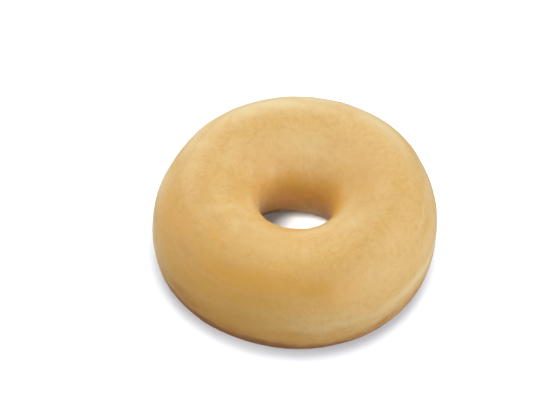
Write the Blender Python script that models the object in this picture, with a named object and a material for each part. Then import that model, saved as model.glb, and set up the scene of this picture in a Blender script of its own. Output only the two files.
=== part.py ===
# A plain ring doughnut: one piece of raised dough, fried golden, a little uneven all round, and
# resting on its settled underside. Metres, +Z up, with the side nearest the viewer at -Y.

from math import atan2, cos, exp, hypot, radians, sin

import bmesh
import bpy
from mathutils import Vector
from mathutils.geometry import intersect_point_line

MM = 0.001

# Driving dimensions of the ring, as it would be if it were even all round.
OUTER_RADIUS = 45.0 * MM
HEIGHT = 35.8 * MM
THROAT_RADIUS = 10.1 * MM
CREST_RADIUS = 31.1 * MM
FOOT_RADIUS = 29.4 * MM

# How high the widest line and the throat of the hole stand above the underside.
WIDEST_HEIGHT = 15.2 * MM
THROAT_HEIGHT = 18.8 * MM

# How far the soft dough settles where it rests, which leaves a flat band.
SETTLE = 0.3 * MM

# How full each quarter of the section is: 2 is an ellipse, and more is squarer.
UPPER_OUTER, UPPER_INNER = 1.81, 1.90
LOWER_OUTER, LOWER_INNER = 3.27, 2.22

# Unevenness from proving and frying: how many swells in one turn, their size, and where one peaks.
GIRTH_SWELLS = ((2, 0.76 * MM, radians(35)), (3, 0.67 * MM, radians(-55)))
THROAT_SWELLS = ((1, 1.58 * MM, radians(-106)), (2, 1.25 * MM, radians(-19)))
HEIGHT_SWELLS = ((1, 0.45 * MM, radians(131)), (2, 1.43 * MM, radians(-25)))

# Folds and dents in the skin, each between two places on it: (direction, turn) at both ends, how
# far the dough stands out along it, and the half width. The turn is 0 at the widest line, a quarter
# turn on the crest and half a turn in the throat.
FOLDS = (
    (radians(52), radians(144), radians(50), radians(124), -0.5 * MM, 3.4 * MM),
    (radians(-4), radians(33), radians(-34), radians(31), -0.5 * MM, 2.6 * MM),
    (radians(-8), radians(50), radians(-34), radians(46), 0.3 * MM, 2.4 * MM),
    (radians(11), radians(28), radians(20), radians(32), -0.5 * MM, 5.0 * MM),
    (radians(150), radians(38), radians(158), radians(34), -0.5 * MM, 5.0 * MM),
)

# Steps of the mesh, round the ring and round its section.
RING_STEPS = 96
SECTION_STEPS = 40

CRUST_COLOUR = (0.74, 0.49, 0.20, 1.0)
CRUST_ROUGHNESS = 0.45


def swell(direction, swells):
    """How far the dough stands out in this direction."""
    return sum(size * cos(count * (direction - peak)) for count, size, peak in swells)


def rounded_corner(turn, fullness):
    """How far along and up a quarter of the section this turn reaches, as shares of its two sides."""
    along, up = abs(cos(turn)), abs(sin(turn))
    stretch = (along**fullness + up**fullness) ** (1 / fullness)
    return along / stretch, up / stretch


def skin_point(direction, turn):
    """The place on the smooth skin in this direction from the axis, at this turn of the section."""
    outer, upper = cos(turn) >= 0, sin(turn) >= 0
    if outer:
        side = OUTER_RADIUS + swell(direction, GIRTH_SWELLS)
        level = WIDEST_HEIGHT
        fullness = UPPER_OUTER if upper else LOWER_OUTER
    else:
        side = THROAT_RADIUS + swell(direction, THROAT_SWELLS)
        level = THROAT_HEIGHT
        fullness = UPPER_INNER if upper else LOWER_INNER
    middle = CREST_RADIUS if upper else FOOT_RADIUS
    along, up = rounded_corner(turn, fullness)
    distance = middle + (side - middle) * along
    if upper:
        height = level + (HEIGHT + swell(direction, HEIGHT_SWELLS) - level) * up
    else:
        height = max(0.0, level - (level + SETTLE) * up)
    return Vector((distance * cos(direction), distance * sin(direction), height))


def fold_depth(place, fold):
    """How far a fold moves the skin at this place, fading away on both sides and past its ends."""
    start_direction, start_turn, end_direction, end_turn, depth, half_width = fold
    start = skin_point(start_direction, start_turn)
    end = skin_point(end_direction, end_turn)
    nearest, share = intersect_point_line(place, start, end)
    if share < 0:
        nearest = start
    elif share > 1:
        nearest = end
    return depth * exp(-(((place - nearest).length / half_width) ** 2))


def shape_ring(mesh):
    """Moves each vertex of an even torus to its place on the dough, then presses in the folds."""
    shape = bmesh.new()
    shape.from_mesh(mesh)
    for vertex in shape.verts:
        x, y, z = vertex.co
        vertex.co = skin_point(atan2(y, x), atan2(z, hypot(x, y) - CREST_RADIUS))
    shape.normal_update()
    moves = [
        vertex.normal * sum(fold_depth(vertex.co, fold) for fold in FOLDS)
        for vertex in shape.verts
    ]
    for vertex, move in zip(shape.verts, moves):
        vertex.co += move
    shape.to_mesh(mesh)
    shape.free()


def centre_over_origin(mesh):
    """Slides the uneven ring so that the middle of its outline is over the origin."""
    for axis in (0, 1):
        reach = [vertex.co[axis] for vertex in mesh.vertices]
        middle = (min(reach) + max(reach)) / 2
        for vertex in mesh.vertices:
            vertex.co[axis] -= middle


def fried_crust():
    """Golden, smooth and barely shiny, as plain dough comes out of the fryer."""
    material = bpy.data.materials.new("fried_crust")
    material.use_nodes = True
    surface = material.node_tree.nodes["Principled BSDF"]
    surface.inputs["Base Color"].default_value = CRUST_COLOUR
    surface.inputs["Roughness"].default_value = CRUST_ROUGHNESS
    surface.inputs["Metallic"].default_value = 0.0
    return material


def ring_doughnut(collection):
    """The whole ring, from an even torus whose section is as thick as the dough at its crest."""
    bpy.ops.mesh.primitive_torus_add(
        major_segments=RING_STEPS,
        minor_segments=SECTION_STEPS,
        major_radius=CREST_RADIUS,
        minor_radius=HEIGHT / 2,
    )
    ring = bpy.context.object
    ring.name = "ring_doughnut"
    ring.data.name = "ring_doughnut"
    for other in list(ring.users_collection):
        other.objects.unlink(ring)
    collection.objects.link(ring)
    shape_ring(ring.data)
    centre_over_origin(ring.data)
    ring.data.materials.append(fried_crust())
    ring.data.shade_smooth()
    ring.data.set_sharp_from_angle(angle=radians(60))
    return ring


for scene_object in list(bpy.data.objects):
    bpy.data.objects.remove(scene_object)
doughnut = bpy.data.collections.new("Doughnut")
bpy.context.scene.collection.children.link(doughnut)
ring_doughnut(doughnut)
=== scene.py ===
from math import atan2, cos, degrees, exp, hypot, pi, radians, sin

import bpy
import numpy as np
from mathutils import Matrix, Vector, noise


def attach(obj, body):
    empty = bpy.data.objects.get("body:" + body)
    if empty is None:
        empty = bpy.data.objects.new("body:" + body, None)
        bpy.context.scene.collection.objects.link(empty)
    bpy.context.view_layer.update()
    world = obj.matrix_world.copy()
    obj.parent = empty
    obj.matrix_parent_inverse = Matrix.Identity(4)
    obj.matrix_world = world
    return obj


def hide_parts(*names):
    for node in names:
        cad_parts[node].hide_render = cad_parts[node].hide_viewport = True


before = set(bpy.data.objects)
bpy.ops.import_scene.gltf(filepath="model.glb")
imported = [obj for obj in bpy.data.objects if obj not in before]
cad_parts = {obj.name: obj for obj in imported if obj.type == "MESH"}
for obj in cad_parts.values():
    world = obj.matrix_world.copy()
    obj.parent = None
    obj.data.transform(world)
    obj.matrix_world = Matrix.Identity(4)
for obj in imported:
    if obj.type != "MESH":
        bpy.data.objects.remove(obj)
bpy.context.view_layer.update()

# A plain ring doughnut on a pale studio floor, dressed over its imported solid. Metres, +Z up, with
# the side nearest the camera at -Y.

MM = 0.001

# The dough ring
# The real one is a single piece of raised dough, cut as a ring, proved, and fried on one side and
# then on the other. Its skin is thin, dry and smooth, with faint wrinkles and a few blisters, and
# it is paler along the flank, which stood at the oil's surface and browned last.

# Fine quads, at most about 0.6 mm along a side, which the skin's wrinkles need. They start as an even
# torus inside the dough and are pushed outwards onto the solid.
RING_STEPS, SECTION_STEPS = 480, 200
CORE_RADIUS = 30.5 * MM
CORE_HEIGHT = 18.0 * MM
CORE_THICKNESS = 8.0 * MM
EVEN_OUT_SHARE, EVEN_OUT_PASSES = 0.5, 8

bpy.ops.mesh.primitive_torus_add(
    major_segments=RING_STEPS,
    minor_segments=SECTION_STEPS,
    major_radius=CORE_RADIUS,
    minor_radius=CORE_THICKNESS,
)
ring = bpy.context.object
ring.name = "fried_dough_ring"
for vertex in ring.data.vertices:
    vertex.co.z += CORE_HEIGHT
wrap = ring.modifiers.new("onto_the_solid", "SHRINKWRAP")
wrap.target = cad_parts["ring_doughnut"]
wrap.wrap_method = "PROJECT"
wrap.use_positive_direction = True
wrap.use_negative_direction = False
even = ring.modifiers.new("round_the_facets", "SMOOTH")
even.factor = EVEN_OUT_SHARE
even.iterations = EVEN_OUT_PASSES
wrapped = bpy.data.meshes.new_from_object(
    ring.evaluated_get(bpy.context.evaluated_depsgraph_get())
)
ring.modifiers.clear()
ring.data = wrapped
ring.data.name = "fried_dough_ring"


def smooth_step(low, high, value):
    """0 below low, 1 above high, and a smooth rise between."""
    share = min(1.0, max(0.0, (value - low) / (high - low)))
    return share * share * (3.0 - 2.0 * share)


def rough(place, size, octaves=4):
    """Fractal noise of about -1 to 1: lumps of this size, then half of it in each further octave."""
    return noise.fractal(place / size, 1.0, 2.0, octaves)


def blister(place):
    """Height from 0 to 1 of the round blisters, which only some cells of the skin hold."""
    distances, centres = noise.voronoi(place / BLISTER_SPACING)
    if noise.cell(centres[0] * CELL_SCATTER) > BLISTERED_SHARE * 2.0 - 1.0:
        return 0.0
    reach = distances[0] * BLISTER_SPACING / BLISTER_RADIUS
    return max(0.0, 1.0 - reach * reach) ** 2


def marks(direction, turn, patches):
    """How strongly the soft patches act on this place, the strongest of them counting."""
    strongest = 0.0
    for middle, middle_turn, width, width_turn, strength in patches:
        aside = (direction - middle + 180.0) % 360.0 - 180.0
        fade = exp(-((aside / width) ** 2) - ((turn - middle_turn) / width_turn) ** 2)
        strongest = max(strongest, strength * fade)
    return strongest


# Where the frying left its marks, and where light and shade are painted on: (direction, turn, half
# width in each, strength), in degrees. The direction is round the ring from +X, and the turn is round
# the section: 0 at the widest line, 90 on the crest, 180 in the throat of the hole and -90
# underneath.

# Deep gold, over the front and in a patch on the right. Round the mouth of the hole it is painted
# shade and painted bounce light, the deeper, warmer colour of the hollow's shaded walls.
DEEP_GOLD_AND_MOUTH_SHADE = (
    (-116, 52, 46, 21, 0.85),
    (-79, 51, 9, 10, 0.8),
    (-136, 81, 12, 8, 0.6),
    (-132, -12, 36, 17, 1.0),
    (-130, 26, 30, 24, 0.75),
    (-72, 42, 14, 18, 0.7),
    (-160, 52, 22, 24, 0.7),
    (0, 156, 32, 13, 1.0),
    (4, 121, 34, 14, 0.6),
    (30, 136, 22, 18, 0.5),
    (50, 172, 52, 9, 0.6),
    (-88, 147, 18, 6, 0.6),
    (-178, 143, 14, 12, 0.5),
    (32, 42, 14, 8, 0.7),
)
# Amber, in small spots over the front. Along the far side of the hole's mouth it is painted shade
# and painted bounce light.
AMBER_AND_MOUTH_SHADE = (
    (-80, 48, 10, 9, 0.65),
    (-139, -18, 10, 7, 0.6),
    (-119, -21, 14, 7, 0.6),
    (-92, -19, 12, 7, 0.55),
    (-106, 2, 12, 9, 0.5),
    (-105, 30, 12, 8, 0.3),
    (34, 161, 26, 6, 0.4),
    (100, 167, 30, 6, 0.4),
)
# Tan, over the crest and on the flanks. Round the mouth of the hole it is painted shade.
TAN_AND_MOUTH_SHADE = (
    (8, 120, 34, 16, 0.35),
    (14, 159, 44, 12, 0.6),
    (82, 171, 48, 9, 0.55),
    (-18, 37, 18, 4, 0.3),
    (-140, 94, 34, 10, 0.4),
    (-116, 112, 26, 18, 0.45),
    (-105, 90, 30, 10, 0.45),
    (8, 64, 22, 10, 0.2),
    (-24, 78, 26, 16, 0.2),
    (-135, -14, 38, 14, 0.5),
    (-112, -2, 16, 20, 0.4),
    (-176, 142, 18, 14, 0.4),
)
# Painted bounce light: a rosy glow low in the throat of the hole, where light comes back up off the
# floor.
PAINTED_THROAT_BOUNCE = (
    (8, 186, 44, 10, 0.8),
    (112, 187, 60, 9, 0.7),
)
# Pale, along the flank and on the ridges of the crest. Along the far rim of the crest the pale is a
# painted sheen, and in the mouth and the throat of the hole it is painted light, which lifts the
# hollow's shade and paints the bounce light low in the throat.
PALE_FLANK = (
    (-26, -8, 34, 11, 0.9),
    (-72, -5, 22, 9, 0.4),
    (-178, -8, 18, 20, 1.0),
    (-53, -19, 12, 7, 0.4),
    (-78, 9, 16, 9, 0.22),
    (-18, 14, 22, 16, 0.35),
    (4, 36, 18, 18, 0.4),
    (-45, 36, 26, 30, 0.25),
    (172, 38, 16, 24, 0.75),
    (-20, 50, 16, 3, 0.35),
)
PALE_CREST_AND_RIM_SHEEN = (
    # The first four, along the far rim, are painted sheen; the rest are pale ridges of the crest.
    (148, 74, 22, 12, 0.75),
    (108, 84, 40, 13, 0.95),
    (82, 70, 28, 12, 0.95),
    (46, 68, 32, 15, 0.8),
    (152, 113, 16, 10, 0.25),
    (-163, 111, 14, 9, 0.2),
    (-151, 112, 4, 24, 0.35),
    (-134, 108, 5, 14, 0.3),
    (-122, 122, 6, 9, 0.3),
    (-112, 126, 26, 22, 0.25),
    (-48, 112, 14, 10, 0.4),
)
PAINTED_MOUTH_LIGHT = (
    # Painted light: these lift the shade in the mouth, and the last two paint bounce light low in the
    # throat.
    (-55, 130, 42, 14, 0.5),
    (74, 136, 44, 18, 0.4),
    (-155, 150, 26, 14, 0.4),
    (-143, 128, 14, 10, 0.25),
    (165, 144, 16, 9, 0.2),
    (-1, 144, 16, 8, 0.2),
    (124, 152, 18, 8, 0.35),
    (72, 151, 24, 7, 0.35),
    (-179, 167, 14, 8, 0.4),
    (-4, 190, 26, 9, 0.6),
    (50, 192, 34, 8, 0.4),
)
# Scorched, in small spots low on the flank and just above the foot, and two faint ones higher up.
# The spots just above the foot are also painted contact shadow where the ring meets the floor.
SCORCHED_AND_FOOT_SHADE = (
    (-146, 44, 9, 10, 0.14),
    (-139, 12, 8, 8, 0.12),
    (-142, -14, 6, 5, 0.4),
    (-137, -21, 8, 5, 0.4),
    (-115, -27, 10, 5, 0.35),
    (-95, -33, 9, 5, 0.25),
    (-54, -29, 7, 5, 0.6),
    (-63, -34, 7, 4, 0.5),
    (-88, -13, 5, 3, 0.2),
    (-148, -36, 10, 7, 0.4),
    (-50, -42, 12, 6, 0.7),
    (-74, -43, 9, 5, 0.35),
    (-34, -33, 8, 5, 0.5),
)
# The marks whose edges wander. The scorched ones' are ragged instead, and are worked out apart.
SOFT_MARKS = {
    "deep_gold_and_mouth_shade": DEEP_GOLD_AND_MOUTH_SHADE,
    "amber_and_mouth_shade": AMBER_AND_MOUTH_SHADE,
    "pale_and_painted_light": (*PALE_FLANK, *PALE_CREST_AND_RIM_SHEEN, *PAINTED_MOUTH_LIGHT),
    "tan_and_mouth_shade": TAN_AND_MOUTH_SHADE,
    "painted_bounce_light": PAINTED_THROAT_BOUNCE,
}

# Browned all over underneath, from just above the foot round to the bottom of the throat: how much,
# at each turn. The dark band just above the foot is painted contact shadow as well as browning, and
# the dark crescent at the bottom of the throat is painted shade where the wall meets the floor. On
# the front left, which is browner and also lies in the lamps' shade, the edge is lifted higher up the
# flank.
BROWNED_AND_SHADED_TURNS = (-90, -54, -46, -42, -37, -28, -18, -6, 201, 210, 240, 270)
BROWNED_AND_SHADED_SHARES = (0.8, 1.0, 0.95, 0.7, 0.16, 0.07, 0.06, 0.0, 0.0, 0.9, 0.9, 0.8)
BROWNER_AND_SHADED_SIDE, BROWNER_AND_SHADED_WIDTH, BROWNER_AND_SHADED_LIFT = -130.0, 44.0, 11.0

# How far the edges of the marks stray, in degrees: broadly over 11 mm, and raggedly over 2.6 mm. The
# ragged noise is read from places of its own, so that it doesn't follow the broad one.
WANDER_SIZE, RAGGED_SIZE = 11 * MM, 2.6 * MM
RAGGED_SHIFT = Vector((1, 2, 3))
WANDER_TURN, RAGGED_TURN = 4.0, 2.5
WANDER_DIRECTION, RAGGED_DIRECTION = 7.0, 3.0

# Relief, from real sizes: broad hollows from proving, fine wrinkles, longer ones that run round the
# ring and are deepest in the mouth of the hole, a few blisters, and a groove along the pale flank.
HOLLOW_SIZE, HOLLOW_DEPTH = 13.0 * MM, 0.16 * MM
WRINKLE_SIZE, WRINKLE_DEPTH = 2.2 * MM, 0.06 * MM
LONG_WRINKLE_DEPTH, MOUTH_WRINKLE_DEPTH, WRINKLE_STRETCH = 0.03 * MM, 0.06 * MM, 3.0
MOUTH_STARTS, MOUTH_ENDS = (105, 150), (185, 215)
BLISTER_SPACING, BLISTER_RADIUS, BLISTER_HEIGHT = 4.2 * MM, 1.3 * MM, 0.10 * MM
BLISTERED_SHARE = 0.3
CELL_SCATTER = 7.31
PALE_LINE_DEPTH, PALE_LINE_TURN, PALE_LINE_FADES = 0.10 * MM, -5, (4, 20)
FOOT_KEPT_FLAT = 1.2 * MM

# Where the dough of the hole stands in or out: (direction, turn, half width in each, mm). For these
# the foot's turns are counted on past 270, so that they fade away across the underside.
THROAT_HOLLOW = (158, 200, 26, 34, 0.6)
THROAT_SWELL = (84, 210, 56, 26, 1.0)
NEAR_LIP_SWELL = (-90, 152, 28, 18, 0.3)
SEAM_TURN = -40

count = len(ring.data.vertices)
skin = np.empty(count * 3)
ring.data.vertices.foreach_get("co", skin)
skin = skin.reshape(-1, 3)
outward = np.empty(count * 3)
ring.data.vertex_normals.foreach_get("vector", outward)
outward = outward.reshape(-1, 3)
fields = {name: np.zeros(count) for name in (*SOFT_MARKS, "browned_and_contact_shade", "scorched_and_foot_shade")}

for index in range(count):
    place = Vector(skin[index])
    x, y, z = place
    direction = degrees(atan2(y, x))
    turn = degrees(atan2(z - CORE_HEIGHT, hypot(x, y) - CORE_RADIUS))
    if turn < -90:
        turn += 360
    wander = rough(place, WANDER_SIZE)
    ragged = rough(place + RAGGED_SHIFT, RAGGED_SIZE)
    edge_turn = turn + WANDER_TURN * wander + RAGGED_TURN * ragged
    edge_direction = direction + WANDER_DIRECTION * wander
    for name, patches in SOFT_MARKS.items():
        fields[name][index] = marks(edge_direction, edge_turn, patches)
    ragged_direction = direction + RAGGED_DIRECTION * ragged
    fields["scorched_and_foot_shade"][index] = marks(ragged_direction, edge_turn, SCORCHED_AND_FOOT_SHADE)
    if turn < 90:
        edge_turn -= BROWNER_AND_SHADED_LIFT * exp(-(((direction - BROWNER_AND_SHADED_SIDE) / BROWNER_AND_SHADED_WIDTH) ** 2))
    fields["browned_and_contact_shade"][index] = np.interp(edge_turn, BROWNED_AND_SHADED_TURNS, BROWNED_AND_SHADED_SHARES)

    mouth = smooth_step(*MOUTH_STARTS, turn) * (1.0 - smooth_step(*MOUTH_ENDS, turn))
    flank = 1.0 - smooth_step(*PALE_LINE_FADES, abs(turn - PALE_LINE_TURN))
    height = HOLLOW_DEPTH * rough(place, HOLLOW_SIZE, 2)
    height += WRINKLE_DEPTH * rough(place, WRINKLE_SIZE)
    # The places are squeezed together round the ring, which draws the wrinkles out along it.
    round_ring = Vector((x, y, 0)).normalized() * CORE_RADIUS / WRINKLE_STRETCH
    squeezed = round_ring + Vector((0, 0, radians(turn) * CORE_HEIGHT))
    height += (LONG_WRINKLE_DEPTH + MOUTH_WRINKLE_DEPTH * mouth) * rough(squeezed, WRINKLE_SIZE)
    height += BLISTER_HEIGHT * blister(place)
    height -= PALE_LINE_DEPTH * fields["pale_and_painted_light"][index] * flank
    onward = turn + 360 if turn < SEAM_TURN else turn
    swell = marks(direction, onward, [THROAT_SWELL, NEAR_LIP_SWELL])
    height += (swell - marks(direction, onward, [THROAT_HOLLOW])) * MM
    height *= smooth_step(0.0, FOOT_KEPT_FLAT, z)
    skin[index] += outward[index] * height

skin[:, 2] = np.maximum(skin[:, 2], 0.0)
ring.data.vertices.foreach_set("co", skin.ravel())
for name, values in fields.items():
    field = ring.data.attributes.new(name, "FLOAT", "POINT")
    field.data.foreach_set("value", values)
ring.data.shade_smooth()
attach(ring, "root")
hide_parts("ring_doughnut")


def linear(colour):
    """An sRGB hex colour as the linear values that shaders take."""
    shares = [int(colour[start : start + 2], 16) / 255 for start in (1, 3, 5)]
    return [s / 12.92 if s <= 0.04045 else ((s + 0.055) / 1.055) ** 2.4 for s in shares] + [1.0]


def add(kind, inputs, **settings):
    """Adds a node to the crust with its settings, and fills its sockets from values or outputs."""
    made = tree.nodes.new("ShaderNode" + kind)
    for name, value in settings.items():
        setattr(made, name, value)
    for socket, value in inputs.items():
        if isinstance(value, bpy.types.NodeSocket):
            tree.links.new(value, made.inputs[socket])
        else:
            made.inputs[socket].default_value = value
    return made


# Fried dough crust: a thin dry skin of browned starch with a trace of oil. The eye sees a soft satin
# gleam on warm golden tan, deeper where the dough browned more and paler where it browned less, and
# mottled at every scale down to the pores. Some of the marks laid over it are painted light and
# shade:
# a sheen along the far rim, shade and bounce light in the hole, and contact shadow above the foot.
CRUST_COLOUR = "#E2B96D"
# Each mark's colour, laid over the ones before it.
MARK_COLOURS = (
    ("deep_gold_and_mouth_shade", "#E8AD4D"),
    ("amber_and_mouth_shade", "#DCA53C"),
    ("tan_and_mouth_shade", "#CDA559"),
    ("painted_bounce_light", "#EBB27C"),
    ("pale_and_painted_light", "#F2DCA9"),
    ("browned_and_contact_shade", "#9E6224"),
    ("scorched_and_foot_shade", "#B4611E"),
)
# Mottling: (size, from noise, to noise, share, colour), from the dough's own unevenness at 14 mm to
# its pores. They are about 0.3 mm across, and are coloured at 0.5 mm and dented at 0.6 mm so that
# they show.
MOTTLES = (
    (14 * MM, 0.45, 0.75, 0.30, "#E6AE5C"),
    (6 * MM, 0.45, 0.75, 0.28, "#EBC98A"),
    (2.2 * MM, 0.45, 0.70, 0.38, "#D39C50"),
    (2.6 * MM, 0.50, 0.70, 0.36, "#D2B45C"),
    (1.5 * MM, 0.50, 0.70, 0.24, "#EBB07E"),
    (1.0 * MM, 0.45, 0.65, 0.28, "#EDCB95"),
    (0.5 * MM, 0.45, 0.65, 0.28, "#D2A05A"),
)
CRUST_ROUGHNESS, CRUST_IOR = 0.45, 1.45
# Light goes a little way into the dough, and red the furthest.
GLOW_SHARE, GLOW_REACH, GLOW_COLOURS = 0.1, 1.5 * MM, (1.0, 0.6, 0.3)
PORE_SIZE, PORE_DEPTH, PORE_STRENGTH = 0.6 * MM, 0.06 * MM, 0.5
NOISE_DETAIL = 3.0
# The numbers of a colour Mix node's sockets, since it has several of each name.
MIX_SHARE, MIX_UNDER, MIX_OVER, MIX_RESULT = 0, 6, 7, 2

crust = bpy.data.materials.new("fried_dough_crust")
crust.use_nodes = True
tree = crust.node_tree
gloss = tree.nodes["Principled BSDF"]
where = add("TexCoord", {}).outputs["Object"]
colour = linear(CRUST_COLOUR)
for size, low, high, share, spots in MOTTLES:
    pattern = {"Vector": where, "Scale": 1.0 / size, "Detail": NOISE_DETAIL}
    lumps = add("TexNoise", pattern).outputs["Fac"]
    limits = {"Value": lumps, "From Min": low, "From Max": high, "To Max": share}
    amount = add("MapRange", limits, interpolation_type="SMOOTHSTEP").outputs["Result"]
    layers = {MIX_SHARE: amount, MIX_UNDER: colour, MIX_OVER: linear(spots)}
    colour = add("Mix", layers, data_type="RGBA").outputs[MIX_RESULT]
for name, stain in MARK_COLOURS:
    amount = add("Attribute", {}, attribute_name=name).outputs["Fac"]
    layers = {MIX_SHARE: amount, MIX_UNDER: colour, MIX_OVER: linear(stain)}
    colour = add("Mix", layers, data_type="RGBA").outputs[MIX_RESULT]
tree.links.new(colour, gloss.inputs["Base Color"])
gloss.inputs["Roughness"].default_value = CRUST_ROUGHNESS
gloss.inputs["IOR"].default_value = CRUST_IOR
gloss.inputs["Subsurface Weight"].default_value = GLOW_SHARE
gloss.inputs["Subsurface Scale"].default_value = GLOW_REACH
gloss.inputs["Subsurface Radius"].default_value = GLOW_COLOURS
pattern = {"Vector": where, "Scale": 1.0 / PORE_SIZE, "Detail": NOISE_DETAIL}
pores = add("TexNoise", pattern).outputs["Fac"]
dents = {"Height": pores, "Strength": PORE_STRENGTH, "Distance": PORE_DEPTH}
tree.links.new(add("Bump", dents).outputs["Normal"], gloss.inputs["Normal"])
ring.data.materials.clear()
ring.data.materials.append(crust)

# The studio floor
# A sheet of matt white laminate on a grey table. The studio's lamps make it as bright as the picture
# can show, but the ring sees the dimmer table in its place, so its flanks stay dark.
FLOOR_SIDE = 3.0
TABLE_DEPTH = 0.5 * MM
LAMINATE_ROUGHNESS, LAMINATE_SPECULAR = 0.9, 0.2
FINISHES = (
    ("studio_floor", "matt_white_laminate", "#ECF2F9", 0.0),
    ("grey_table", "matt_grey_laminate", "#B4B4B6", -TABLE_DEPTH),
)
stage = {}
for name, finish, colour, height in FINISHES:
    bpy.ops.mesh.primitive_plane_add(size=FLOOR_SIDE, location=(0, 0, height))
    stage[name] = bpy.context.object
    stage[name].name = name
    laminate = bpy.data.materials.new(finish)
    laminate.use_nodes = True
    sheet = laminate.node_tree.nodes["Principled BSDF"]
    sheet.inputs["Base Color"].default_value = linear(colour)
    sheet.inputs["Roughness"].default_value = LAMINATE_ROUGHNESS
    sheet.inputs["Specular IOR Level"].default_value = LAMINATE_SPECULAR
    stage[name].data.materials.append(laminate)
floor = stage["studio_floor"]
floor.visible_diffuse = False
floor.visible_glossy = False
floor.visible_shadow = False

# The studio lights
# A white room. Five softboxes light the ring and the table, the strongest at the back left, the right
# and the front right, and one small spot lights the far wall of the hole. Two floor lamps whiten the
# floor alone, and nine small spots reach down the hole to the floor inside it.
# Each is (name, direction round the ring, elevation, strength). A strength of 1 makes a white sheet
# that faces the lamp just white. A spot's power counts as if it shone all round, so it needs more.
LAMP_DISTANCE = 0.8
SPOT_POWER = 4
SOFTBOX = {"shape": "SQUARE", "size": 0.50}
SOFTBOXES = (
    ("back_left_softbox", 135, 45, 0.37),
    ("back_softbox", 90, 45, 0.14),
    ("right_softbox", 0, 36, 0.33),
    ("front_right_softbox", -50, 14, 0.32),
    ("left_softbox", -176, 8, 0.24),
)
FLOOR_LAMPS = (
    ("floor_lamp_overhead", 0, 89, 1.1),
    ("floor_lamp_front", -62, 35, 0.62),
)
HOLE_SPOTS = [
    ("hole_spot", direction, elevation, 0.19)
    for direction in (-135, -125, -115)
    for elevation in (50, 56, 62)
]
THROAT_SPOTS = (("throat_spot", -90, 50, 0.28),)
RING_MIDDLE = Vector((0, 0, CORE_HEIGHT))
HOLE_FLOOR = Vector((1.5 * MM, 9.5 * MM, 0))
FAR_WALL = Vector((-1 * MM, 9 * MM, 11 * MM))
HOLE_SPOT = {
    "shadow_soft_size": 0.025,
    "spot_blend": 0.15,
    "spot_size": radians(4.6),
    "color": linear("#FFF8EE")[:3],
}
THROAT_SPOT = {
    "shadow_soft_size": 0.01,
    "spot_blend": 1.0,
    "spot_size": radians(2.6),
    "color": linear("#FFF2E2")[:3],
}
ROOM_STRENGTH = 0.41


def lit_group(name, pieces):
    """A collection that lamps can be limited to."""
    group = bpy.data.collections.new(name)
    for piece in pieces:
        group.objects.link(piece)
    return group


floor_only = lit_group("floor_only", [floor])
floor_and_table = lit_group("floor_and_table", [floor, stage["grey_table"]])
ring_and_table = lit_group("ring_and_table", [ring, stage["grey_table"]])
LAMPS = (
    ("AREA", SOFTBOXES, SOFTBOX, RING_MIDDLE, ring_and_table),
    ("AREA", FLOOR_LAMPS, SOFTBOX, RING_MIDDLE, floor_only),
    ("SPOT", HOLE_SPOTS, HOLE_SPOT, HOLE_FLOOR, floor_and_table),
    ("SPOT", THROAT_SPOTS, THROAT_SPOT, FAR_WALL, ring_and_table),
)
for kind, places, fittings, aim, lit in LAMPS:
    for name, direction, elevation, strength in places:
        lamp = bpy.data.lights.new(name, kind)
        lamp.energy = strength * (pi * LAMP_DISTANCE) ** 2
        if kind == "SPOT":
            lamp.energy *= SPOT_POWER
        for setting, value in fittings.items():
            setattr(lamp, setting, value)
        stand = bpy.data.objects.new(name, lamp)
        bpy.context.scene.collection.objects.link(stand)
        along, up = cos(radians(elevation)), sin(radians(elevation))
        facing = Vector((cos(radians(direction)) * along, sin(radians(direction)) * along, up))
        stand.location = aim + facing * LAMP_DISTANCE
        stand.rotation_mode = "QUATERNION"
        stand.rotation_quaternion = facing.to_track_quat("Z", "Y")
        stand.light_linking.receiver_collection = lit

room = bpy.data.worlds.new("white_room")
room.use_nodes = True
room.node_tree.nodes["Background"].inputs["Color"].default_value = linear("#FFFFFF")
room.node_tree.nodes["Background"].inputs["Strength"].default_value = ROOM_STRENGTH
bpy.context.scene.world = room
bpy.context.scene.view_settings.view_transform = "Standard"

# The camera
# It looks down on the side at -Y from 50 degrees above the horizon, as in the photo.
PICTURE_WIDTH = 553
SENSOR_WIDTH = 36.0
CAMERA_ELEVATION = radians(50)
CAMERA_DISTANCE = 570.4 * MM
AIM = Vector((0.65 * MM, -0.23 * MM, 17.9 * MM))
FOCAL_PIXELS = 1800
AIM_PIXEL_OFFSET = (20.4, 9.7)
camera = bpy.data.objects.new("camera", bpy.data.cameras.new("camera"))
bpy.context.scene.collection.objects.link(camera)
camera.location = AIM + CAMERA_DISTANCE * Vector((0, -cos(CAMERA_ELEVATION), sin(CAMERA_ELEVATION)))
camera.rotation_euler = (pi / 2 - CAMERA_ELEVATION, 0, 0)
camera.data.sensor_width = SENSOR_WIDTH
camera.data.lens = FOCAL_PIXELS * SENSOR_WIDTH / PICTURE_WIDTH
camera.data.shift_x = -AIM_PIXEL_OFFSET[0] / PICTURE_WIDTH
camera.data.shift_y = AIM_PIXEL_OFFSET[1] / PICTURE_WIDTH
bpy.context.scene.camera = camera
